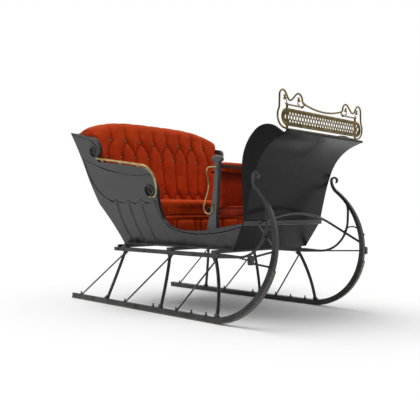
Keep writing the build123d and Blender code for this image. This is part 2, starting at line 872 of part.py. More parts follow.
# braces: a rod from the tongue of each beam up the inside of the gooseneck, with a small scroll to the runner
brace_radius = 8.5
brace_half = (beam_half + runner_half(780)) / 2
brace_path = steps((at(beam_tip - 12), 435), 0, ((240, 60), (240, 28), (0, 60), (150, 22)))
scroll_end = brace_path[0][3]
for side, k in sides:
    with BuildPart() as brace:
        with BuildLine(Plane.XZ.offset(-k * brace_half)) as line:
            draw(brace_path)
        rod(line.wire(), brace_radius)
        with BuildLine():
            scroll = ThreePointArc(
                (at(2134), k * runner_half(550), 546),
                (at(2085), k * (brace_half + 12), 622),
                (scroll_end[0], k * brace_half, scroll_end[1]),
            )
        rod(scroll, 5)
        add(runners[side], mode=Mode.SUBTRACT)
        add(beams[side], mode=Mode.SUBTRACT)
    brace.part.label = f"brace_{side}"
    export_step(brace.part, f"parts/brace_{side}.step")

# shaft couplings: a bored block out beside each runner, on a fork from the runner and a stay from the beam
fork_radius = 6.5
for side, k in sides:
    with BuildPart() as coupling:
        with Locations((at(eye_station), k * eye_half, eye_high)):
            Box(*eye_size)
        fillet(coupling.edges().filter_by(Axis.Y), 10)
        for station, z, rise in ((2139, 491, 16), (2116, 393, -16)):
            with BuildLine():
                arm_end = (at(eye_station), k * eye_half, eye_high + rise)
                arm = Line((at(station), k * runner_half(z), z), arm_end)
            rod(arm, fork_radius)
        with BuildSketch(Plane.XZ.offset(-k * eye_half)):
            with Locations((at(eye_station), eye_high)):
                Circle(eye_bore)
        extrude(amount=eye_size[1] / 2 + 30, both=True, mode=Mode.SUBTRACT)
        add(runners[side], mode=Mode.SUBTRACT)
        add(beams[side], mode=Mode.SUBTRACT)
    coupling.part.label = f"shaft_coupling_{side}"
    export_step(coupling.part, f"parts/shaft_coupling_{side}.step")
    with BuildPart() as eye_stay:
        with BuildLine():
            stay_end = (at(eye_station - 18), k * (eye_half - 8), eye_high - 2)
            stay = Line((at(beam_tip - 30), k * beam_half, 434), stay_end)
        rod(stay, fork_radius - 1)
        add(coupling.part, mode=Mode.SUBTRACT)
        add(beams[side], mode=Mode.SUBTRACT)
    eye_stay.part.label = f"eye_stay_{side}"
    export_step(eye_stay.part, f"parts/eye_stay_{side}.step")
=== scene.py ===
# %% [markdown]
# # A horse drawn sleigh
# The sleigh was modelled as solids first: runners, body, dash, seats and brass. Here it gets what the
# solids leave plain: buttoned velvet, carved scrolls, bolts and leaves of brass, and finishes that catch
# the light. Pieces are measured in millimetres, and a station is counted from the heel of the runners.

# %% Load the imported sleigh
from math import cos, pi, radians, sin
import bpy
import numpy as np
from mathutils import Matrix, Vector
from mathutils.geometry import tessellate_polygon


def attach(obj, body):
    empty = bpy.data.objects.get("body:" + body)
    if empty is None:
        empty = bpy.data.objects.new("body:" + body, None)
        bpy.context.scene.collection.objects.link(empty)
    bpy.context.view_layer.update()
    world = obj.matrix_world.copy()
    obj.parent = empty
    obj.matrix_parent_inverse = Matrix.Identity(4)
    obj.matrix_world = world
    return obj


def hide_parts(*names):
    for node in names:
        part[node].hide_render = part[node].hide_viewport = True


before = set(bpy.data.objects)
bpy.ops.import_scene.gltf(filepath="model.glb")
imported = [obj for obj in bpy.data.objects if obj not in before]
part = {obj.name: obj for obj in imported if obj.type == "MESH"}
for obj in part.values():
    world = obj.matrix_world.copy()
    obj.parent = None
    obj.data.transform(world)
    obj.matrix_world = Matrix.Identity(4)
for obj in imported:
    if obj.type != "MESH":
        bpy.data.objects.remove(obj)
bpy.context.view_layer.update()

# %% [markdown]
# ## Finishes
# A finish is a small tree of shader nodes. Colours are written as sRGB codes, as a paint card gives them,
# and turned to the linear values that light is added up in. Patterns are set by their real size: a noise
# that is to repeat every 40 mm gets the scale 1 / 0.040, because the solids are in metres.

# %% Helpers for finishes


def linear(code):
    """An sRGB colour code as linear red, green, blue and alpha."""
    parts = [int(code[i:i + 2], 16) / 255 for i in (1, 3, 5)]
    return [c / 12.92 if c <= 0.04045 else ((c + 0.055) / 1.055) ** 2.4 for c in parts] + [1.0]


def add(tree, kind, values=None, links=None, **settings):
    """Adds one shader node with its settings, its socket values and the sockets that feed it."""
    node = tree.nodes.new("ShaderNode" + kind)
    for name, value in settings.items():
        setattr(node, name, value)
    for name, value in (values or {}).items():
        node.inputs[name].default_value = value
    for name, source in (links or {}).items():
        tree.links.new(source, node.inputs[name])
    return node


def finish(name, **values):
    """A new material with one principled shader, and the place of each point on the solid."""
    material = bpy.data.materials.new(name)
    material.use_nodes = True
    tree = material.node_tree
    shader = tree.nodes["Principled BSDF"]
    for key, value in values.items():
        shader.inputs[key.replace("_", " ")].default_value = value
    return material, tree, shader, add(tree, "TexCoord").outputs["Object"]


def two_tone(tree, shader, source, dark, light, low=0.35, high=0.65):
    """Feeds the colour from a pattern: dark where it is low, light where it is high."""
    ramp = add(tree, "ValToRGB", links={"Fac": source})
    for stop, position, code in zip(ramp.color_ramp.elements, (low, high), (dark, light)):
        stop.position = position
        stop.color = linear(code)
    tree.links.new(ramp.outputs["Color"], shader.inputs["Base Color"])


def between(tree, shader, socket, source, low, high):
    """Feeds a number socket from a pattern, spread between two values."""
    spread = add(tree, "MapRange", {"To Min": low, "To Max": high}, {"Value": source})
    tree.links.new(spread.outputs["Result"], shader.inputs[socket])


def relief(tree, shader, source, depth, edge=0.0):
    """Bump of a real depth in metres; edge rounds the sharp edges of a solid by that radius."""
    bump = add(tree, "Bump", {"Distance": depth, "Strength": 1.0}, {"Height": source})
    if edge:
        rounded = add(tree, "Bevel", {"Radius": edge}, samples=4)
        tree.links.new(rounded.outputs["Normal"], bump.inputs["Normal"])
    tree.links.new(bump.outputs["Normal"], shader.inputs["Normal"])


print("mid grey in linear light:", round(linear("#808080")[0], 3))

# %% [markdown]
# The body is coach enamel: many coats of black, rubbed down with pumice and left at a satin. To the eye it is
# never quite one black. Slow clouds show where hands and cloths have polished it, and a fine brush grain
# breaks up the shine. Low down, the base is darkened in patches of some 70 mm. This is painted shade,
# standing in for the shadowed floor that the lower side mirrors. A picture could be mapped on instead, but a
# noise multiplied by the height needs no picture and follows the curve of the side.

# %% Coach enamel
enamel, tree, face, spot = finish("black coach enamel rubbed to a satin", Specular_IOR_Level=0.5)
clouds = add(tree, "TexNoise", {"Scale": 1 / 0.22, "Detail": 4.0}, {"Vector": spot}).outputs["Fac"]
two_tone(tree, face, clouds, "#27272a", "#303032")
plain = face.inputs["Base Color"].links[0].from_socket
height = add(tree, "SeparateXYZ", links={"Vector": spot}).outputs["Z"]
# Painted shade: dark patches low on the side, for the shadowed floor mirrored there.
shade_heights = {"From Min": 0.68, "From Max": 0.5}          # heights in metres, from no painted shade to full
low_shade = add(tree, "MapRange", shade_heights, {"Value": height}).outputs["Result"]
blotch = {"Scale": 1 / 0.07, "Detail": 6.0, "Roughness": 0.65}
blotches = add(tree, "TexNoise", blotch, {"Vector": spot}).outputs["Fac"]
shade_blotches = add(tree, "MapRange", {"From Min": 0.43, "From Max": 0.58}, {"Value": blotches}).outputs["Result"]
reflected_shade = add(tree, "Math", links={0: low_shade, 1: shade_blotches}, operation="MULTIPLY").outputs["Value"]
shaded_base = add(tree, "MixRGB", {"Color2": linear("#121213")}, {"Fac": reflected_shade, "Color1": plain})
tree.links.new(shaded_base.outputs["Color"], face.inputs["Base Color"])
between(tree, face, "Roughness", clouds, 0.24, 0.38)
grain = add(tree, "TexNoise", {"Scale": 1 / 0.006, "Detail": 5.0, "Roughness": 0.6}, {"Vector": spot})
relief(tree, face, grain.outputs["Fac"], 0.00012, edge=0.0022)
print("made", enamel.name)

# %% [markdown]
# Dash and cheeks are covered with leather that was varnished black, and they are drawn blacker than the body.
# That is painted shade: a nearly black base and a low specular level darken them as the dim surroundings they
# mirror would, so little comes back straight on and only a slant look finds a soft shine. Its grain is drawn
# at 9 mm, coarser than real hide, so that it still breaks up the shine at the size of the picture.

# %% Varnished leather
# Painted shade: a near black with little shine, for dash, cheeks, sunk lines and the hollows behind the
# volutes.
shade_black, tree, face, spot = finish("black leather darkened as painted shade", Specular_IOR_Level=0.17)
clouds = add(tree, "TexNoise", {"Scale": 1 / 0.3, "Detail": 4.0}, {"Vector": spot}).outputs["Fac"]
two_tone(tree, face, clouds, "#070708", "#0e0e0f")
between(tree, face, "Roughness", clouds, 0.2, 0.36)
hide = add(tree, "TexNoise", {"Scale": 1 / 0.009, "Detail": 4.0, "Roughness": 0.6}, {"Vector": spot})
relief(tree, face, hide.outputs["Fac"], 0.00015, edge=0.0022)
print("made", shade_black.name)

# %% [markdown]
# On the standards, where people take hold to climb in, and along the lips of the sunk lines, the enamel is
# drawn paler and duller than the rest, a grey ground flecked in spots of some 12 mm. The paleness is painted
# light, for the light that these faces and lips catch.

# %% Worn enamel
# Painted light: a paler enamel for the standards, the carved heads and the lips of the sunk lines.
light_enamel, tree, face, spot = finish("coach enamel lightened grey as painted light", Specular_IOR_Level=0.5)
fleck = {"Scale": 1 / 0.012, "Detail": 5.0, "Roughness": 0.6}
flecks = add(tree, "TexNoise", fleck, {"Vector": spot}).outputs["Fac"]
two_tone(tree, face, flecks, "#444446", "#5a5a5c")
between(tree, face, "Roughness", flecks, 0.3, 0.48)
relief(tree, face, flecks, 0.0002, edge=0.0022)
print("made", light_enamel.name)

# %% [markdown]
# Runners, knees and stays are forged iron, dipped in black japan and baked. The hammer's flats stay under
# the coat as a slow unevenness of some 25 mm, and the coat itself is duller than enamel.

# %% Japanned iron
iron, tree, face, spot = finish("black japan baked on forged iron", Specular_IOR_Level=0.5)
flats = add(tree, "TexNoise", {"Scale": 1 / 0.025, "Detail": 2.0}, {"Vector": spot}).outputs["Fac"]
two_tone(tree, face, flats, "#1a1a1b", "#242425")
between(tree, face, "Roughness", flats, 0.26, 0.42)
relief(tree, face, flats, 0.0005, edge=0.002)
print("made", iron.name)

# %% [markdown]
# The shoe under each runner is bare steel, scoured along its length by snow and grit. Stretching a noise
# along the sleigh turns its grains into long scratches, and a little brown stays in the dull places.

# %% Scoured steel
steel, tree, face, spot = finish("bare steel scoured by snow", Metallic=1.0)
along = add(tree, "Mapping", {"Scale": (1 / 0.3, 1 / 0.003, 1 / 0.003)}, {"Vector": spot}).outputs["Vector"]
scratches = add(tree, "TexNoise", {"Scale": 1.0, "Detail": 5.0}, {"Vector": along}).outputs["Fac"]
two_tone(tree, face, scratches, "#4a4440", "#77746f")
between(tree, face, "Roughness", scratches, 0.55, 0.3)
relief(tree, face, scratches, 0.00008, edge=0.001)
print("made", steel.name)

# %% [markdown]
# Rails and lattice are cast and drawn brass that was polished once and has toned since. The eye reads age
# from the brown clouds where nobody rubs it and from the broken sharpness of its reflections. The rails are
# drawn in a paler brass as painted highlight, and the pierced plate in a darker one, partly toned and partly
# painted shade.

# %% Toned brass


def brass_finish(name, dark, light):
    """A brass with the tones of its rubbed and its unrubbed places."""
    metal, tree, face, spot = finish(name, Metallic=1.0)
    toning = {"Scale": 1 / 0.05, "Detail": 6.0, "Roughness": 0.6}
    tone = add(tree, "TexNoise", toning, {"Vector": spot}).outputs["Fac"]
    two_tone(tree, face, tone, dark, light, 0.3, 0.7)
    between(tree, face, "Roughness", tone, 0.45, 0.24)
    relief(tree, face, tone, 0.0002, edge=0.0012)
    return metal


brass = brass_finish("cast brass toned with age", "#57492b", "#93804e")
# Painted highlight: a paler brass for rails, collars and beads. Toning and painted shade: a darker brass for
# the plate.
highlit_brass = brass_finish("drawn brass lightened as painted highlight", "#8f7a48", "#d2bf86")
shaded_plate_brass = brass_finish("pierced brass plate toned and darkened as painted shade", "#3a3120", "#5f5234")
print("made", brass.name, ",", highlit_brass.name, "and", shaded_plate_brass.name)

# %% [markdown]
# Cut velvet is a forest of short fibres that stand on end. Seen straight on it swallows light and looks deep
# and dark; seen along the surface the fibre tips shine. The sheen lobe of the shader does that. Deep in a
# fold little light reaches the cloth, so a mesh may carry a number of painted shade for each of its points,
# which darkens the cloth there. The pile is drawn some three times coarser than real pile, so that it still
# shows at the size of the picture.

# %% Cut velvet


def velvet_finish(name, dark, light, glow, shade, sheen):
    """A velvet: its two ground tones, the shine of its fibre tips and the colour of its painted shade in
    folds and shaded places.
    """
    cloth, tree, face, spot = finish(name, Roughness=0.9, Sheen_Weight=sheen, Sheen_Roughness=0.35)
    face.inputs["Sheen Tint"].default_value = linear(glow)
    face.inputs["Specular IOR Level"].default_value = 0.15
    stroked = add(tree, "TexNoise", {"Scale": 1 / 0.11, "Detail": 3.0}, {"Vector": spot}).outputs["Fac"]
    two_tone(tree, face, stroked, dark, light, 0.3, 0.7)
    plain = face.inputs["Base Color"].links[0].from_socket
    # Painted shade: a number on the mesh darkens the cloth towards the shade colour.
    painted_shade = add(tree, "Attribute", attribute_name="painted_shade").outputs["Fac"]
    deep = add(tree, "MixRGB", {"Color2": linear(shade)}, {"Fac": painted_shade, "Color1": plain})
    tree.links.new(deep.outputs["Color"], face.inputs["Base Color"])
    pile = add(tree, "TexNoise", {"Scale": 1 / 0.0035, "Detail": 3.0}, {"Vector": spot})
    relief(tree, face, pile.outputs["Fac"], 0.0006)
    return cloth


velvet = velvet_finish("orange red cut velvet", "#b4320c", "#cc4412", "#ffa050", "#7a1608", 0.6)
# Painted shade: darker copies of the same velvet for the front seat and its skirt, which lie in shade.
shade_velvet = velvet_finish("cut velvet darkened as painted shade", "#98260b", "#bc3812", "#e0683a", "#400a06", 0.3)
shaded_skirt_velvet = velvet_finish("plain velvet darkened as painted shade", "#6a180a", "#84240c", "#d0602a", "#2c0604", 0.08)
# Painted light: a lighter copy of the same velvet for the pads below the bench.
lit_pad_name = "orange red cut velvet lightened as painted light"
lit_pad_velvet = velvet_finish(lit_pad_name, "#cc3c0e", "#e04e16", "#ffa050", "#6a1206", 0.6)
print("made", velvet.name, ",", lit_pad_velvet.name, ",", shade_velvet.name, "and", shaded_skirt_velvet.name)

# %% [markdown]
# A strap of black harness leather runs round the roll of the front seat. Leather has a pebbled grain: a
# pattern of cells gives the pebbles, and the valleys between them are the dull lines that the eye knows as
# hide.

# %% Harness leather
leather, tree, face, spot = finish("waxed black harness leather", Specular_IOR_Level=0.5)
pebbles = add(tree, "TexVoronoi", {"Scale": 1 / 0.004}, {"Vector": spot}).outputs["Distance"]
two_tone(tree, face, pebbles, "#262728", "#17181a", 0.2, 0.8)
between(tree, face, "Roughness", pebbles, 0.38, 0.6)
relief(tree, face, pebbles, -0.0004)
print("made", leather.name)

# %% [markdown]
# The upholsterer's buttons are small caps pressed from thin brass. Backs rub them, so they are pale on the
# crown and dull elsewhere, and the eye sees each as one soft spark in its dimple.

# %% Button metal
button_metal, tree, face, spot = finish("dull pressed brass of upholstery buttons", Metallic=0.9)
wear = add(tree, "TexNoise", {"Scale": 1 / 0.006, "Detail": 3.0}, {"Vector": spot}).outputs["Fac"]
two_tone(tree, face, wear, "#7a6f52", "#bdb190")
between(tree, face, "Roughness", wear, 0.5, 0.32)
relief(tree, face, wear, 0.0002)
print("made", button_metal.name)

# %% [markdown]
# Each solid was packed with a slot that says what it is made of, so the finishes go on by slot. A few pieces
# then get a finish of their own, which paints light or shade on them: the darkened leather of dash and
# cheeks, the lightened standards and the rails brightened as painted highlight.

# %% Put the finishes on the solids
coats = {"black_paint": enamel, "black_iron": iron, "shoe_steel": steel, "brass": brass, "velvet": velvet}
dressed = 0
for name, solid in part.items():
    for coat in solid.material_slots:
        key = coat.material.name.split(".")[0]
        coat.material = coats[key]
        dressed += 1
special = (
    (shade_black, ("dash_lower", "dash_upper", "cheek_right", "cheek_left")),
    (light_enamel, ("front_standard_right", "front_standard_left")),
    (highlit_brass, ("arm_rail_right", "arm_rail_left", "grab_rail_right", "grab_rail_left")),
)
for material, names in special:
    for name in names:
        part[name].material_slots[0].material = material
print("solids dressed:", dressed)

# %% [markdown]
# ## Shapes
# Most ornaments are a line with a round section, or a profile turned on a lathe, so two functions make nearly
# all of them. A third gathers such shapes in one mesh, which then rides on the sleigh, and a fourth writes on
# the velvet where shade is painted into it.

# %% Helpers for shapes
ahead = 1095            # station of the middle of the sleigh


def place(station, y, z):
    """A point of the sleigh, in metres in its own frame."""
    return np.array([(station - ahead) / 1000, y / 1000, z / 1000])


def through(points, count=40, closed=False):
    """A smooth line through a few points; at each it heads from the point before to the one after."""
    points = np.asarray(points, float)
    size = len(points)
    if closed:
        around = np.vstack([points[-1], points, points[:2]])
    else:
        around = np.vstack([2 * points[0] - points[1], points, 2 * points[-1] - points[-2]])
    spans = size if closed else size - 1
    found = []
    for u in np.linspace(0, spans, count, endpoint=not closed):
        i = min(int(u), spans - 1)
        t = u - i
        a, b, c, d = around[i:i + 4]
        found.append(0.5 * (2 * b + (c - a) * t + (2 * a - 5 * b + 4 * c - d) * t * t
                            + (3 * b - a - 3 * c + d) * t ** 3))
    return np.array(found)


def tube(points, radius, sides=10, closed=False):
    """A round bar along a line; radius, in mm, is one number or one for each point."""
    points = np.asarray(points, float)
    count = len(points)
    radii = np.broadcast_to(np.asarray(radius, float) / 1000, (count,))
    if closed:
        heading = np.roll(points, -1, 0) - np.roll(points, 1, 0)
    else:
        heading = np.gradient(points, axis=0)
    heading /= np.linalg.norm(heading, axis=1)[:, None]
    side = np.cross(heading[0], (0.3, 0.5, 0.81))
    verts = []
    for p, h, r in zip(points, heading, radii):
        side = side - h * side.dot(h)
        side /= np.linalg.norm(side)
        up = np.cross(h, side)
        for a in np.linspace(0, 2 * pi, sides, endpoint=False):
            verts.append(p + r * (cos(a) * side + sin(a) * up))
    faces = []
    for i in range(count if closed else count - 1):
        for j in range(sides):
            n, m = (i + 1) % count, (j + 1) % sides
            faces.append((i * sides + j, i * sides + m, n * sides + m, n * sides + j))
    if not closed:
        faces.append(tuple(range(sides))[::-1])
        faces.append(tuple(range((count - 1) * sides, count * sides)))
    return verts, faces


def turned(profile, centre, axis, sides=16):
    """A lathe: profile is (height along the axis, radius) in mm, from one end to the other."""
    axis = np.asarray(axis, float) / np.linalg.norm(axis)
    side = np.cross(axis, (0.31, 0.52, 0.79))
    side /= np.linalg.norm(side)
    up = np.cross(axis, side)
    verts = []
    for high, radius in profile:
        for a in np.linspace(0, 2 * pi, sides, endpoint=False):
            away = cos(a) * side + sin(a) * up
            verts.append(centre + axis * high / 1000 + away * max(radius, 0.02) / 1000)
    faces = [tuple(range(sides))[::-1]]
    for i in range(len(profile) - 1):
        for j in range(sides):
            m = (j + 1) % sides
            faces.append((i * sides + j, i * sides + m, (i + 1) * sides + m, (i + 1) * sides + j))
    faces.append(tuple(range((len(profile) - 1) * sides, len(profile) * sides)))
    return verts, faces


def piece(name, shapes, material, smooth=True):
    """One mesh made of several shapes; it rides on the sleigh and takes its finish from a slot."""
    verts, faces = [], []
    for shape_verts, shape_faces in shapes:
        first = len(verts)
        verts += [tuple(v) for v in shape_verts]
        faces += [tuple(first + i for i in f) for f in shape_faces]
    mesh = bpy.data.meshes.new(name)
    mesh.from_pydata(verts, [], faces)
    mesh.polygons.foreach_set("use_smooth", [smooth] * len(mesh.polygons))
    mesh.materials.append(material)
    thing = bpy.data.objects.new(name, mesh)
    bpy.context.collection.objects.link(thing)
    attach(thing, "root")
    print(f"{name}: {len(faces)} faces")
    return thing


def paint_shade(thing, depths):
    """Writes the painted shade of each point of a mesh, from 0 to 1, which darkens its velvet."""
    painted_shade = thing.data.attributes.new("painted_shade", "FLOAT", "POINT")
    painted_shade.data.foreach_set("value", np.asarray(depths, float).ravel())


print("the runners' heel is at", place(0, 0, 0))

# %% [markdown]
# ## The buttoned back
# A buttoned back is one sheet of velvet over horsehair. Buttons pull it in, and between them the cloth
# folds along the shortest way: diamonds between the upper two rows, straight flutes down to the third.
# Cloth simulation could find such folds, but slowly and never just where the buttons want them, so the
# folds are drawn as lines.

# %% Where the buttons and folds are
rows = (
    (1307, (71, 218, 363, 512)),
    (1173, (0, 143, 284, 421, 558)),
    (896, (0, 135, 263, 383, 485)),
)
buttons = []
for z, places in rows:
    buttons.append([(y, z) for y in sorted({k * y for y in places for k in (-1, 1)})])
all_buttons = [button for row in buttons for button in row]


def swung(start, end, steps=7):
    """A fold that leaves one button slantwise and comes to the next from straight above."""
    t = np.linspace(0, 1, steps + 1)
    y = start[0] + (end[0] - start[0]) * (1 - (1 - t) ** 1.9)
    z = start[1] + (end[1] - start[1]) * t
    line = list(zip(y, z))
    return list(zip(line, line[1:]))


neighbours = 90                 # two buttons of the upper rows that are nearer across than this share a fold
past_top, below_seat, flute = 1620, 800, 58
folds = []
for y, z in buttons[0]:
    for below in buttons[1]:
        if abs(below[0] - y) < neighbours:
            folds += swung((y, z), below)
    folds.append(((y, z), (y * 1.06, past_top)))
for upper, lower in zip(buttons[1], buttons[2]):
    folds.append((upper, lower))
for y, z in buttons[2]:
    folds += swung((y, z), (y - flute, below_seat)) + swung((y, z), (y + flute, below_seat))
print("buttons:", len(all_buttons), "folds:", len(folds))

# %% [markdown]
# The sheet is laid as a grid that climbs the seat's back, rolls over the arched top and comes down behind,
# to where the panel hides it. One upright cut through it is a line of points, and the cuts stand side by
# side.

# %% The sheet before it is buttoned
seat_top, face_foot, face_lean = 698, 585, 0.165
side_low, side_half_low, side_flare, lining = 470, 400, 0.385, 53
lining_top, arch_top, arch_half, back_roll = 1372, 1470, 680, 80


def back_top(y):
    """Height of the back's arched top."""
    return arch_top - 118 * (abs(y) / 745) ** 3.6


def inside_half(z):
    """Half the width between the velvet linings."""
    return side_half_low + side_flare * (z - side_low) - lining


def back_column(u):
    """The outline of the back across one upright cut: up the face, over the roll and down behind."""
    top = back_top(u * arch_half)
    outline = []
    for z in np.linspace(seat_top, top - back_roll, 118):
        outline.append((face_foot - face_lean * (z - seat_top), z))
    s, z = outline[-1]
    for a in np.linspace(0, radians(112), 30)[1:]:
        outline.append((s - back_roll * (1 - cos(a)) - 7 * sin(a), z + back_roll * sin(a)))
    s, z = outline[-1]
    panel = 268 + 0.17 * (lining_top - min(top, 1440))          # where the cloth meets the leaning back panel
    for t in np.linspace(0, 1, 22)[1:]:
        outline.append((s + (panel - s) * t, z - (26 + 18 * abs(u)) * t ** 1.5))
    s, z = outline[-1]
    for t in np.linspace(0, 1, 8)[1:]:
        outline.append((s + (445 - s) * t ** 0.3, z + (seat_top - z) * t))
    return outline


columns = 260
spread = np.linspace(-1, 1, columns)
flat = np.array([back_column(u) for u in spread])
deep = flat.shape[1]
across = np.array([
    [u * inside_half(min(max(z, seat_top), lining_top)) for s, z in column]
    for u, column in zip(spread, flat)
])
strides = np.hypot(*np.diff(flat, axis=1).transpose(2, 0, 1))
run = np.concatenate([np.zeros((columns, 1)), np.cumsum(strides, 1)], 1)
climb = seat_top + run / (1 + face_lean ** 2) ** 0.5        # height as it would be if the sheet were flat
print("sheet of", columns, "by", deep, "points")

# %% [markdown]
# How far the cloth stands out at a point follows from its distance to the nearest fold, and round each
# button it is pulled in. Towards the roll the folds run out, and at the sheet's own edges it lies flat.
# Each point is then pushed out along the normal of its cut.

# %% The sheet buttoned
near = np.full(across.shape, 1e9)
for (ya, za), (yb, zb) in folds:
    dy, dz = yb - ya, zb - za
    t = np.clip(((across - ya) * dy + (climb - za) * dz) / (dy * dy + dz * dz), 0, 1)
    near = np.minimum(near, np.hypot(across - ya - t * dy, climb - za - t * dz))
over_top = np.clip((climb - 1330) / 90, 0, 1)
faced = np.clip((deep - 8 - np.arange(deep)) / 26, 0, 1) ** 0.7
tucked = np.clip((1 - np.abs(spread)) / 0.05, 0, 1) ** 0.5
puff, puff_lost, fold_reach, sunk, sunk_lost = 29, 25, 20, 16, 15       # the lost shares go towards the roll
swell = (puff - puff_lost * over_top) * (1 - np.exp(-near / fold_reach)) - sunk + sunk_lost * over_top
# Painted shade: the cloth is darkened along the folds and round each button.
painted_shade = np.exp(-near / 7) * (0.6 - 0.3 * over_top) * faced[None, :]
pull = np.zeros(across.shape)
for y, z in all_buttons:
    squared = (across - y) ** 2 + (climb - z) ** 2
    pull += 11 * np.exp(-squared / 20 ** 2)
    painted_shade = np.maximum(painted_shade, np.exp(-squared / 17 ** 2))
lift = (swell - pull) * faced[None, :] * tucked[:, None]
tangent = np.gradient(flat, axis=1)
tangent /= np.linalg.norm(tangent, axis=2)[:, :, None]
shape_s = flat[:, :, 0] + lift * tangent[:, :, 1]
shape_z = flat[:, :, 1] - lift * tangent[:, :, 0]
sheet_verts, sheet_faces = [], []
for i in range(columns):
    sheet_verts += [place(shape_s[i, j], across[i, j], shape_z[i, j]) for j in range(deep)]
for i in range(columns - 1):
    for j in range(deep):
        n = (j + 1) % deep
        sheet_faces.append((i * deep + j, (i + 1) * deep + j, (i + 1) * deep + n, i * deep + n))
sheet_faces.append(tuple(range(deep)))
sheet_faces.append(tuple(range((columns - 1) * deep, columns * deep))[::-1])
tufted = piece("buttoned_back", [(sheet_verts, sheet_faces)], velvet)
paint_shade(tufted, painted_shade)
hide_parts("rear_tufted_back")

# %% [markdown]
# Each button is a small pressed dome on the fold's lowest point. It faces out of the back, so its axis
# leans as the back does.

# %% The buttons
out = np.array([1, 0, face_lean]) / np.hypot(1, face_lean)
dome = ((-6, 10.4), (0.5, 11), (3, 10.2), (5.6, 7.9), (7.2, 4.6), (7.8, 0))
dimple = 20                     # how deep a button sits
domes = []
for y, z in all_buttons:
    seat = place(face_foot - face_lean * (z - seat_top) - dimple, y, z)
    domes.append(turned(dome, seat, out))
piece("back_buttons", domes, button_metal)

# %% [markdown]
# ## Stuffed pieces
# A cushion is a cloth bag under pressure from what fills it. Simulated cloth can be blown up the same way:
# the solid is copied a little smaller, covered with an even mesh, and let swell for twenty steps without
# gravity. How far a point may move is capped, so that the pad keeps its place in the sleigh.

# %% A bag that swells
swell_steps = 20


def even_mesh(thing, voxel):
    """Covers a shape with even quads and gives that mesh to the object."""
    cover = thing.modifiers.new("cover", "REMESH")
    cover.mode = "VOXEL"
    cover.voxel_size = voxel / 1000
    bake(thing)


def bake(thing):
    """Applies every modifier on an object."""
    drawn = thing.evaluated_get(bpy.context.evaluated_depsgraph_get())
    mesh = bpy.data.meshes.new_from_object(drawn)
    thing.modifiers.clear()
    thing.data = mesh


def points_of(thing):
    """The points of a mesh as rows of x, y and z."""
    found = np.empty(len(thing.data.vertices) * 3)
    thing.data.vertices.foreach_get("co", found)
    return found.reshape(-1, 3)


def set_points(thing, points):
    """Moves the points of a mesh."""
    thing.data.vertices.foreach_set("co", points.ravel())
    thing.data.update()


def stuffed(name, solid, inset, voxel, cap, material, pressure=4.0):
    """A stuffed copy of a solid pad, which it replaces; a cap of 0 leaves it flat, as cloth on a board is."""
    bag = bpy.data.objects.new(name, part[solid].data.copy())
    bpy.context.collection.objects.link(bag)
    even_mesh(bag, voxel)
    start = points_of(bag)
    normals = np.array([v.normal for v in bag.data.vertices])
    start = start - normals * inset / 1000
    set_points(bag, start)
    if cap:
        cloth = bag.modifiers.new("stuffing", "CLOTH")
        cloth.settings.use_pressure = True
        cloth.settings.uniform_pressure_force = pressure
        cloth.settings.effector_weights.gravity = 0
        cloth.collision_settings.use_collision = False
        for step in range(1, swell_steps + 1):
            bpy.context.scene.frame_set(step)
        bake(bag)
        bpy.context.scene.frame_set(1)
        moved = points_of(bag) - start
        far = np.linalg.norm(moved, axis=1)
        moved *= np.minimum(1, cap / 1000 / np.maximum(far, 1e-9))[:, None]
        set_points(bag, start + moved)
    bag.data.polygons.foreach_set("use_smooth", [True] * len(bag.data.polygons))
    bag.data.materials.clear()
    bag.data.materials.append(material)
    bag.modifiers.new("soft", "SUBSURF").levels = 1
    bag.modifiers["soft"].render_levels = 1
    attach(bag, "root")
    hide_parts(solid)
    print(f"{name}: {len(bag.data.vertices)} points")
    return bag


print("steps of swelling:", swell_steps)

# %% [markdown]
# Each pad gets its own fullness. The bench cushion is plump, the arm pads are thin and the front seat's back
# is cloth on a board, which is not swollen at all. The roll on top of that back is the fullest: after the
# swelling it is drawn out further to the rear and upwards. Just below it a dark band is painted on the back
# as the shadow of the roll.

# %% The pads of both seats
stuffed("bench_cushion", "rear_cushion", inset=8, voxel=9, cap=20, material=velvet)
slab = stuffed("front_seat_back", "front_back_pad", inset=1, voxel=8, cap=0, material=shade_velvet)
# Painted shadow: the back darkens towards the roll above it.
roll_shadow_low, roll_shadow_high = 0.92, 0.99        # heights in metres between which the band darkens
paint_shade(slab, np.clip((points_of(slab)[:, 2] - roll_shadow_low) / (roll_shadow_high - roll_shadow_low), 0, 1) * 0.8)
roll = stuffed("front_seat_roll", "front_back_roll", inset=4, voxel=6, cap=8, material=velvet)
fuller = points_of(roll)
roll_front, roll_foot = place(1544, 0, 1008)[[0, 2]]
fuller[:, 0] = roll_front + (fuller[:, 0] - roll_front) * 1.2
fuller[:, 2] = roll_foot + (fuller[:, 2] - roll_foot) * 1.22
set_points(roll, fuller)
stuffed("front_seat_cushion", "front_seat_pad", inset=1, voxel=5, cap=8, material=shade_velvet)
for where in ("right", "left"):
    stuffed(f"arm_pad_{where}", f"arm_lining_{where}", inset=4, voxel=9, cap=14, material=velvet)

# %% [markdown]
# The front of the bench is a row of small sewn pads, broad and narrow in turn. Each is a pillow: high in
# the middle, falling steeply to its seams, and puckered where the thread gathers its corners. A pillow
# this small keeps its shape better as a formula than as a simulated bag.

# %% The row of pads below the bench


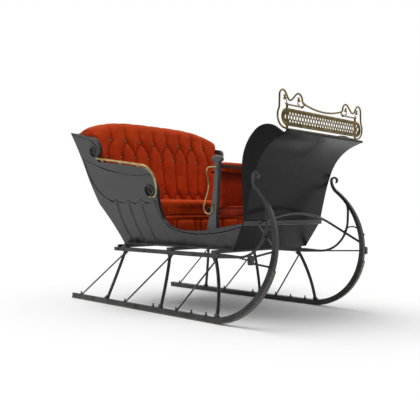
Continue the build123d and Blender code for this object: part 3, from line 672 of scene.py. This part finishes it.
def pillow(middle, half, low, high, station, proud):
    """A sewn pad that faces forward, with the painted shade of each of its points towards its seams."""
    wide, tall = max(10, int(half / 2.6)), 44
    verts, seam_shade, faces = [], [], []
    for i in range(wide + 1):
        for j in range(tall + 1):
            u, v = 2 * i / wide - 1, 2 * j / tall - 1
            from_middle = (abs(u) ** 6 + abs(v) ** 6) ** (1 / 6)
            rise = max(0.0, 1 - from_middle ** 7) ** 0.6
            y, z = u * half, v * (high - low) / 2
            from_corner = np.hypot(half - abs(y), (high - low) / 2 - abs(z))
            turn = np.arctan2((high - low) / 2 - abs(z), half - abs(y) + 0.1)
            pucker = 2.4 * cos(11 * turn) * np.exp(-(from_corner / 34) ** 2)
            verts.append(place(station + (proud + pucker) * rise, middle + y, (low + high) / 2 + z))
            # Painted shade: darker towards the seams.
            seam_shade.append((1 - rise) ** 2)
    for i in range(wide):
        for j in range(tall):
            a = i * (tall + 1) + j
            faces.append((a, a + tall + 1, a + tall + 2, a + 1))
    return verts, faces, seam_shade


broad, narrow, end, seam = 190, 48, 28, 5
pad_low, pad_high, riser_face, row_start = 497, 674, 1063, -376
pad_row, reached = [], row_start
for wide in (end, broad, narrow, broad, narrow, broad, end):
    pad_row.append((reached + wide / 2, wide / 2, 22 if wide == broad else 15))
    reached += wide + seam
for where, first, last in (("right", 0, 2), ("middle", 2, 5), ("left", 5, 7)):
    pads = [pillow(y, half, pad_low, pad_high, riser_face, proud) for y, half, proud in pad_row[first:last]]
    pad = piece(f"bench_front_pad_{where}", [(v, f) for v, f, c in pads], lit_pad_velvet)
    paint_shade(pad, np.concatenate([c for v, f, c in pads]))
    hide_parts(f"riser_pad_{where}")

# %% [markdown]
# The bench's front edge is covered with the same velvet, drawn round the seat board as a nosing, and the
# top edge of the cushion is gathered in slanting pleats round a cord of stuffing. A pleated roll is a tube
# whose radius dips at even steps, with the dips slanted by letting them lag round the tube.

# %% Nosing and pleated edge of the bench


def pleated(start, end, radius, pitch, depth, slant, sides=24):
    """A straight stuffed roll with slanting pleats; sizes in mm."""
    start, end = np.asarray(start), np.asarray(end)
    long = np.linalg.norm(end - start) * 1000
    count = int(long / 4)
    heading = (end - start) / np.linalg.norm(end - start)
    side = np.cross(heading, (0, 0, 1.0))
    up = np.cross(side, heading)
    verts = []
    for i in range(count + 1):
        d = long * i / count
        tuck = min(1.0, (min(d, long - d) + 2) / radius) ** 0.5
        for a in np.linspace(0, 2 * pi, sides, endpoint=False):
            phase = ((d + slant * sin(a)) / pitch) % 1
            dip = depth * np.exp(-min(phase, 1 - phase) / 0.07) if depth else 0
            r = (radius * tuck - dip) / 1000
            verts.append(start + heading * d / 1000 + r * (cos(a) * side + sin(a) * up))
    faces = [tuple(range(sides))[::-1]]
    for i in range(count):
        for j in range(sides):
            m = (j + 1) % sides
            faces.append((i * sides + j, i * sides + m, (i + 1) * sides + m, (i + 1) * sides + j))
    faces.append(tuple(range(count * sides, (count + 1) * sides)))
    return verts, faces


bench_front, cushion_top = 1064, 814
half, front, middle = inside_half(seat_top) + 12, bench_front + 4, seat_top - 7
ends = [place(front, y, middle) for y in (-half, half)]
nosing = pleated(*ends, radius=11, pitch=100, depth=0, slant=0)
piece("bench_nosing", [nosing], velvet)
half, front, middle = inside_half(cushion_top) - 4, bench_front - 16, cushion_top - 22
ends = [place(front, y, middle) for y in (-half, half)]
gathers = pleated(*ends, radius=24, pitch=88, depth=7, slant=46)
piece("bench_pleated_edge", [gathers], velvet)

# %% [markdown]
# The front seat has a skirt of velvet below its cushion, tacked round the edge of the board, with a
# gathered welt along its top. Both go round the same loop, and so does the leather strap further up, so
# the loop is a function.

# %% Skirt and welt of the front seat


def round_loop(rear, front, half, corner, step=6):
    """A rectangle with round corners, seen from above: its points and their outward directions."""
    line = []
    middle, reach = (rear + front) / 2, (front - rear) / 2 - corner
    for turn, s, y in ((0, 1, 1), (90, -1, 1), (180, -1, -1), (270, 1, -1)):
        for a in np.radians(np.linspace(turn, turn + 90, 8)):
            away = np.array([cos(a), sin(a)])
            line.append((np.array([middle + s * reach, y * (half - corner)]) + corner * away, away))
    dense = []
    for (p, a), (q, b) in zip(line, line[1:] + line[:1]):
        count = max(1, int(np.linalg.norm(q - p) / step))
        for t in np.arange(count) / count:
            away = a + (b - a) * t
            dense.append((p + (q - p) * t, away / np.linalg.norm(away)))
    return dense


def band(loop, section):
    """A band round a loop; its section is a closed line of (outwards, height) in mm."""
    size, count = len(section), len(loop)
    verts = [place(*(p + out * away), z) for p, away in loop for out, z in section]
    faces = []
    for i in range(count):
        n = (i + 1) % count
        for j in range(size):
            m = (j + 1) % size
            faces.append((i * size + j, i * size + m, n * size + m, n * size + j))
    return verts, faces


skirt_loop = round_loop(rear=1514, front=1774, half=341, corner=24)
skirt_section = [(-4, 702), (1, 700), (5, 706), (6, 727), (5, 748), (1, 753), (-4, 752)]
piece("front_seat_skirt", [band(skirt_loop, skirt_section)], shaded_skirt_velvet)
welt_loop = round_loop(rear=1516, front=1772, half=338, corner=24, step=4)
welt_z, welt_sides = 758, 10
welt_line = [place(*p, welt_z) for p, away in welt_loop]
gathered = 5.5 + 2.2 * np.sin(np.arange(len(welt_line)) * 2 * pi / 4.2)     # radius from point to point
welt = piece("front_seat_welt", [tube(welt_line, gathered, welt_sides, closed=True)], shaded_skirt_velvet)
# Painted shade: the thin places between the gathers of the welt are darkened.
paint_shade(welt, np.repeat(gathered < 6.2, welt_sides))

# %% [markdown]
# ## Carved sides
# Wing and arm of each side end in a carved volute, which a carver leaves proud of the board, and lines are
# cut into the face between them. All are drawn in side view and laid on the flared face. A displacement
# map could give them too, but a bar along a line keeps its section crisp at any distance.

# %% Helpers for the sides
arm_end, dash_foot, dash_flare = 1104, 1827, 28 / 185


def on_side(k, station, z, out=0.0):
    """A point on the outer face of a side, which flares outwards and closes towards the dash."""
    ahead_of_arm = np.clip((station - arm_end) / (dash_foot - arm_end), 0, 1)
    slope = side_flare + (dash_flare - side_flare) * ahead_of_arm
    return place(station, k * (side_half_low + slope * (z - side_low) + out), z)


def beside(line, gap):
    """A line beside another in side view, below it or ahead of it."""
    heading = np.gradient(line, axis=0)
    s, z = heading.T / np.linalg.norm(heading, axis=1)
    return line + gap * np.stack([z, -s], 1) * np.where(z + s > 0, 1, -1)[:, None]


def board(k, outline, inner, outer, soft):
    """A carved board of some outline (stations and heights), rounded off towards both faces."""
    outline = np.asarray(outline)
    middle = outline.mean(0)
    small = middle + (outline - middle) * (1 - soft / 40)
    rings = [(small, inner), (outline, inner + soft), (outline, outer - soft), (small, outer)]
    verts = [place(s, k * y, z) for line, y in rings for s, z in line]
    size = len(outline)
    faces = [tuple(range(size)), tuple(range(3 * size, 4 * size))[::-1]]
    for r in range(3):
        for i in range(size):
            n = (i + 1) % size
            faces.append((r * size + n, r * size + i, (r + 1) * size + i, (r + 1) * size + n))
    return verts, faces


print("the right side's wing at", np.round(on_side(-1, 300, 1150), 3))

# %% [markdown]
# The volutes thin towards their eye, where a small knob closes the turn, and a rim follows the edge of the
# wing. Behind each volute a dark disc lies on the ground as painted shade in the hollow of the carving.

# %% Volutes
wing_scroll = (
    (518, 1162), (486, 1152), (449, 1164), (430, 1197), (442, 1227),
    (472, 1237), (497, 1222), (497, 1197), (476, 1185), (460, 1197),
)
arm_scroll = (
    (1040, 838), (1000, 838), (968, 862), (963, 893), (984, 919),
    (1020, 925), (1052, 906), (1056, 876), (1030, 860), (1008, 876),
)
wing_rim = ((258, 1340), (355, 1317), (455, 1288), (508, 1256), (534, 1222), (522, 1184), (500, 1162))
eye_knob = ((-3, 11), (2, 11), (5, 8), (6.5, 3), (7, 0))
shade_and_knob_parts = {}
for side, k in (("right", -1), ("left", 1)):
    outwards = (0, k, -side_flare)
    carving = []
    for line, thick, thin in ((wing_scroll, 10, 6), (arm_scroll, 11, 7), (wing_rim, 5, 5)):
        drawn = [on_side(k, s, z, 1.5) for s, z in through(line, 70)]
        carving.append(tube(drawn, np.linspace(thick, thin, len(drawn))))
    for station, z in (wing_scroll[-1], arm_scroll[-1]):
        carving.append(turned(eye_knob, on_side(k, station, z), outwards))
    shade_and_knob_parts[side] = []
    # Painted shade: dark discs behind the volutes.
    for station, z, radius in ((468, 1204, 40), (1008, 884, 43)):
        disc = ((-6, radius - 3), (0.6, radius), (1.2, radius - 1), (1.3, 0))
        shade_and_knob_parts[side].append(turned(disc, on_side(k, station, z), outwards, 40))
    piece(f"carved_scrolls_{side}", carving, enamel)

# %% [markdown]
# A dark bead lies in each sunk line as painted shade, and a pale bead along the lower lip of the line is a
# painted highlight. The head of the front seat's standard is carved too and drawn pale as painted light, and
# below it a dark knob holds the end of the grab rail.

# %% Sunk lines and standards
carved_lines = (
    ((297, 1153), (628, 1043), (1069, 999)),
    ((574, 827), (638, 798), (722, 821)),
    ((722, 821), (796, 794), (879, 821)),
    ((879, 821), (947, 794), (1036, 812)),
    ((573, 806), (574, 640), (655, 474)),
    ((722, 796), (732, 640), (798, 474)),
    ((879, 787), (883, 640), (941, 474)),
    ((1043, 812), (1040, 730), (1072, 664), (1120, 618), (1200, 590),
     (1337, 574), (1498, 577), (1660, 599), (1790, 628)),
    ((300, 1129), (350, 929), (498, 818), (540, 813), (574, 827)),
)
head = (
    (1461, 1103), (1474, 1120), (1507, 1127), (1542, 1119), (1561, 1099),
    (1547, 1082), (1513, 1085), (1484, 1082), (1467, 1088),
)
hook_knob = ((0, 10), (3, 14), (10, 16), (18, 15), (22, 11), (24, 5), (24.5, 0))
knob_station, knob_z = 1429, 745
for side, k in (("right", -1), ("left", 1)):
    dark = shade_and_knob_parts[side]
    lit_lips_and_head = [board(k, through(head, 54, closed=True), inner=339, outer=374, soft=6)]
    for line in carved_lines:
        drawn = through(line, 60)
        # Painted shade: a dark bead in each sunk line.
        dark.append(tube([on_side(k, s, z, -4) for s, z in drawn], 3.4, 8))
        # Painted highlight: a pale bead along the lower lip of each sunk line.
        lit_lips_and_head.append(tube([on_side(k, s, z, 0.6) for s, z in beside(drawn, 6)], 3, 8))
    dark.append(turned(hook_knob, place(knob_station, k * 352, knob_z), (0, k, 0)))
    dark.append(tube([place(knob_station, k * 360, knob_z), place(1466, k * 360, 750)], 7))
    piece(f"painted_shade_lines_and_knob_{side}", dark, shade_black)
    piece(f"painted_light_lips_and_head_{side}", lit_lips_and_head, light_enamel)

# %% [markdown]
# ## Brass fittings
# The panel in the rail is sheet brass, pierced with three rows of holes. The plate is filled between its
# outline and the holes by triangles, on both faces, and gets a wall round each loop. Cutting the holes
# with booleans would do as well, but takes longer and leaves a rougher mesh. A fine bead round each hole
# catches the light.

# %% The pierced plate
rail_station, lattice_mid = 2147, 1318


def slot_line(half_long, half_high, count=24):
    """The outline of a slot with round ends in the plane of the rail."""
    reach = half_long - half_high
    turn = np.linspace(-pi / 2, pi / 2, count)
    right = [(reach + half_high * cos(a), half_high * sin(a)) for a in turn]
    return right + [(-y, -z) for y, z in right]


def pierced(outline, holes, back, front):
    """A flat plate with holes between two stations; outline and holes are loops of (y, z) in mm."""
    loops = [outline] + holes
    flat_points = [point for loop in loops for point in loop]
    size = len(flat_points)
    verts = [place(station, y, z) for station in (back, front) for y, z in flat_points]
    faces = []
    for a, b, c in tessellate_polygon([[(y, z, 0) for y, z in loop] for loop in loops]):
        (ya, za), (yb, zb), (yc, zc) = flat_points[a], flat_points[b], flat_points[c]
        if (yb - ya) * (zc - za) < (yc - ya) * (zb - za):
            b, c = c, b
        faces += [(c, b, a), (a + size, b + size, c + size)]
    first = 0
    for loop in loops:
        for i in range(len(loop)):
            a, b = first + i, first + (i + 1) % len(loop)
            faces.append((a, b, b + size, a + size))
        first += len(loop)
    return verts, faces


plate_back, plate_front, plate_half, plate_high = 2152.5, 2155, 457, 110
hole_pitch, bead = 29.8, 1.3
# height of a row off the middle, number of its holes, and half their width and height
hole_rows = ((0, 29, 10.2, 12.6), (24, 28, 8.8, 7.8), (-24, 28, 8.8, 7.8))
holes, beading = [], []
for off, count, half_wide, half_high in hole_rows:
    for y in (np.arange(count) - (count - 1) / 2) * hole_pitch:
        middle = np.array([y, lattice_mid + off])
        turn = np.linspace(0, -2 * pi, 16, endpoint=False)
        loop = middle + np.stack([half_wide * np.cos(turn), half_high * np.sin(turn)], 1)
        away = (loop - middle) / np.linalg.norm(loop - middle, axis=1)[:, None]
        holes.append([tuple(point) for point in loop])
        beading.append(tube([place(plate_front, *p) for p in loop + bead * away], bead, 6, closed=True))
plate_outline = [(y, lattice_mid + z) for y, z in slot_line(plate_half, plate_high / 2)]
plate = pierced(plate_outline, holes, plate_back, plate_front)
lattice = piece("pierced_plate", [plate], shaded_plate_brass, smooth=False)
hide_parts("rein_lattice")
piece("lattice_beading", beading, highlit_brass)

# %% [markdown]
# The plate has a rolled rim and a finer one inside it, the rail's ears hold small cast sprays of leaves on
# hooks, and balls cover the joints of the rods. They were cast or turned on their own and soldered on.

# %% Rims, leaves and balls


def leaf(base, tip, wide, thick):
    """A small cast leaf: broad in the rail's plane, thin across it."""
    base, tip = np.asarray(base), np.asarray(tip)
    long = np.linalg.norm(tip - base) * 1000
    profile = [(long * t, wide * sin(pi * t) ** 0.8) for t in np.linspace(0, 1, 9)]
    verts, faces = turned(profile, base, tip - base, 10)
    middle = base[0]
    return [np.array([middle + (v[0] - middle) * thick / wide, v[1], v[2]]) for v in verts], faces


ball = [(9 * -cos(a), 9 * sin(a)) for a in np.linspace(0, pi, 9)]
rod_joints = ((394, 1246), (394, 1397), (237, 1397))
hooks = (
    ((416, 1404), (402, 1402), (396, 1414), (404, 1424)),
    ((262, 1410), (276, 1406), (284, 1416), (276, 1427)),
)
sprays = (
    ((412, 1424), ((428, 1458), (434, 1434), (398, 1440), (414, 1462))),
    ((272, 1426), ((268, 1460), (252, 1440), (290, 1436), (282, 1458))),
)
castings = []
for half_long, half_high, radius in ((451, 49, 6), (441, 39, 2.6)):
    rim = [place(rail_station + 6, y, lattice_mid + z) for y, z in slot_line(half_long, half_high)]
    castings.append(tube(rim, radius, closed=True))
for k in (-1, 1):
    for y, z in rod_joints:
        castings.append(turned(ball, place(rail_station, k * y, z), (0, 0, 1), 14))
    for hook in hooks:
        castings.append(tube([place(rail_station, k * y, z) for y, z in through(hook, 16)], 3))
    for (foot_y, foot_z), tips in sprays:
        foot = place(rail_station, k * foot_y, foot_z)
        for y, z in tips:
            castings.append(leaf(foot, place(rail_station, k * y, z), wide=6, thick=3))
piece("rail_castings", castings, brass)

# %% [markdown]
# The arm rails were screwed together from lengths of rod. A turned collar hides each joint and a ball ends
# the rail.

# %% Collars and end balls of the arm rails
collar = ((-5, 6), (-4, 9), (-1.5, 10), (1.5, 10), (4, 9), (5, 6))
rail_start, rail_high, rail_fall, rail_out = 490, 1149, 0.15, 4
for side, k in (("right", -1), ("left", 1)):
    fittings = []
    for station in (555, 903):
        height = rail_high - rail_fall * (station - rail_start)
        along_rail = (1, -k * side_flare * rail_fall, -rail_fall)
        fittings.append(turned(collar, on_side(k, station, height, rail_out), along_rail, 14))
    for station, height in ((492, rail_high), (1008, 840)):
        fittings.append(turned(ball, on_side(k, station, height, rail_out), (1, 0, -rail_fall), 14))
    piece(f"arm_rail_collars_{side}", fittings, highlit_brass)

# %% [markdown]
# ## The studded strap
# The roll on the front seat's back is held by a leather strap with a row of small studs in orange velvet,
# one every 36 mm. A strap is flat and does not stretch, so it is a plain band round the same kind of loop
# as the skirt's.

# %% Strap and studs
strap_low, strap_high, roll_half = 1037, 1062, 336
front_face, rear_face = 1545, 1421
strap_section = [(-1.5, strap_low), (2, strap_low), (2, strap_high), (-1.5, strap_high)]
strap = band(round_loop(rear_face, front_face, roll_half, corner=10), strap_section)
piece("roll_strap", [strap], leather, smooth=False)
stud = ((-1, 4.4), (1.5, 4.4), (3, 3.2), (3.8, 0))
stud_pitch, studs = 36, []
for face_station, way in ((front_face + 2, 1), (rear_face - 2, -1)):
    for y in stud_pitch * np.arange(-9, 10):
        studs.append(turned(stud, place(face_station, y, (strap_low + strap_high) / 2), (way, 0, 0), 10))
piece("strap_studs", studs, velvet)

# %% [markdown]
# ## Ironwork
# A smith's joints are what makes the undercarriage believable: a collar forged round each knee where it
# meets runner and beam, upright pins along the runner, and bolt heads on runner, beam and gooseneck.
# All are turned profiles, so one loop for each kind sets them in place on both sides.

# %% Knee collars, pins and bolts
lean, track_half, runner_top = 0.117, 560, 42
runner_face = 15                # from a runner's middle to its outer face
beam_half, beam_low, beam_face, beam_bolt_z = 464, 420, 482, 434


def runner_half(z):
    """Distance of a runner's middle from the centre line; the runners lean in."""
    return track_half - lean * z


knees = ((478, 604), (1131, 1136), (1697, 1595))
foot_collar = ((0, 24), (3, 24), (6, 19), (16, 16), (22, 15), (24, 12))
pin = ((-1, 10), (7, 10), (8, 8), (9, 5.5), (22, 5.5), (24, 4), (25, 0))
bolt = ((-1, 9), (3, 9), (5.5, 7), (7, 3.5), (7.4, 0))
for side, k in (("right", -1), ("left", 1)):
    smithing = []
    for foot, top in knees:
        low = place(foot, k * runner_half(runner_top), runner_top)
        high = place(top, k * beam_half, beam_low)
        smithing.append(turned(foot_collar, low, high - low))
        smithing.append(turned(foot_collar, high, low - high))
    for station in (114, 712, 1050, 1300, 1455, 1597):
        seat = place(station, k * runner_half(runner_top), runner_top - 1)
        smithing.append(turned(pin, seat, (0, 0, 1), 12))
    for station, z in ((300, 26), (860, 26), (2147, 565), (2139, 491), (2116, 393)):
        smithing.append(turned(bolt, place(station, k * (runner_half(z) + runner_face), z), (0, k, lean), 12))
    for station in (520, 850, 1400, 1640):
        smithing.append(turned(bolt, place(station, k * beam_face, beam_bolt_z), (0, k, 0), 12))
    piece(f"smith_joints_{side}", smithing, iron)

# %% [markdown]
# ## The stage
# A studio shows a dark sleigh on white paper. The paper is plain white and only as bright as the light on
# it, so the sleigh leaves its shadow there.

# %% Floor
floor_half = 40                 # in metres
corners = [(x * floor_half, y * floor_half, 0) for x, y in ((-1, -1), (1, -1), (1, 1), (-1, 1))]
floor_mesh = bpy.data.meshes.new("studio_floor")
floor_mesh.from_pydata(corners, [], [(0, 1, 2, 3)])
floor = bpy.data.objects.new("studio_floor", floor_mesh)
bpy.context.collection.objects.link(floor)
paper, tree, face, spot = finish("white studio paper", Base_Color=linear("#ffffff"), Roughness=1.0)
face.inputs["Specular IOR Level"].default_value = 0.0
floor_mesh.materials.append(paper)
print("floor:", floor.name)

# %% [markdown]
# The world answers each kind of ray in its own way. The camera sees white behind the sleigh. Paint and
# metal mirror that backdrop too, and the dim room on the side where it ends. What lights the sleigh is a
# soft sky, bright overhead and dim near the horizon.

# %% Sky
sky = bpy.data.worlds.new("white studio")
bpy.context.scene.world = sky
sky.use_nodes = True
tree = sky.node_tree
paper_white = linear("#ffffff")
ray = add(tree, "LightPath").outputs
towards = add(tree, "TexCoord").outputs["Generated"]
upwards = add(tree, "SeparateXYZ", links={"Vector": towards}).outputs["Z"]
overhead = {"From Min": 0.1, "From Max": 0.75, "To Min": 0.12, "To Max": 0.82}
fill = add(tree, "MapRange", overhead, {"Value": upwards}).outputs["Result"]
soft = add(tree, "Background", {"Color": paper_white}, {"Strength": fill}).outputs["Background"]
to_backdrop = (-0.7, 0.7, 0.0)
away = add(tree, "VectorMath", {1: to_backdrop}, {0: towards}, operation="DOT_PRODUCT").outputs["Value"]
paper_end = {"From Min": -0.7, "From Max": 0.3, "To Min": 0.1, "To Max": 1.0}
seen = add(tree, "MapRange", paper_end, {"Value": away}).outputs["Result"]
backdrop = add(tree, "Background", {"Color": paper_white}, {"Strength": seen}).outputs["Background"]
white = add(tree, "Background", {"Color": paper_white, "Strength": 1.0}).outputs["Background"]
mirror_rays = {0: ray["Is Glossy Ray"], 1: ray["Is Transmission Ray"]}
mirrored = add(tree, "Math", links=mirror_rays, operation="MAXIMUM").outputs["Value"]
lit = add(tree, "MixShader", links={"Fac": mirrored, 1: soft, 2: backdrop}).outputs["Shader"]
shown = add(tree, "MixShader", links={"Fac": ray["Is Camera Ray"], 1: lit, 2: white}).outputs["Shader"]
tree.links.new(shown, tree.nodes["World Output"].inputs["Surface"])
print("sky:", sky.name, "with", len(tree.nodes), "nodes")

# %% [markdown]
# One large soft lamp stands high to the left, so the shadow falls to the right. A sun lamp with a wide
# angle does that: its light is even over the whole floor, and the angle sets how soft the shadow is.

# %% The lamp
lamp = bpy.data.lights.new("large soft lamp to the left", "SUN")
lamp.energy = 1.2
lamp.angle = radians(44)
light = bpy.data.objects.new("large soft lamp to the left", lamp)
bpy.context.collection.objects.link(light)
light.rotation_euler = Vector((0.22, 0.2, -1.0)).to_track_quat("-Z", "Y").to_euler()
print("lamp:", light.name)

# %% [markdown]
# ## The camera
# The picture was taken from ahead of the sleigh and to its right, at the height of the seat, with a normal
# lens.

# %% Camera
eye = bpy.data.cameras.new("camera")
eye.lens = 51.2
eye.sensor_width = 36
view = bpy.data.objects.new("camera", eye)
bpy.context.collection.objects.link(view)
view.location = (3.320, -3.351, 0.735)
view.rotation_euler = Vector((-0.705, 0.709, 0.002)).to_track_quat("-Z", "Y").to_euler()
bpy.context.scene.camera = view
bpy.context.scene.view_settings.view_transform = "Standard"
print("camera:", eye.lens, "mm lens")
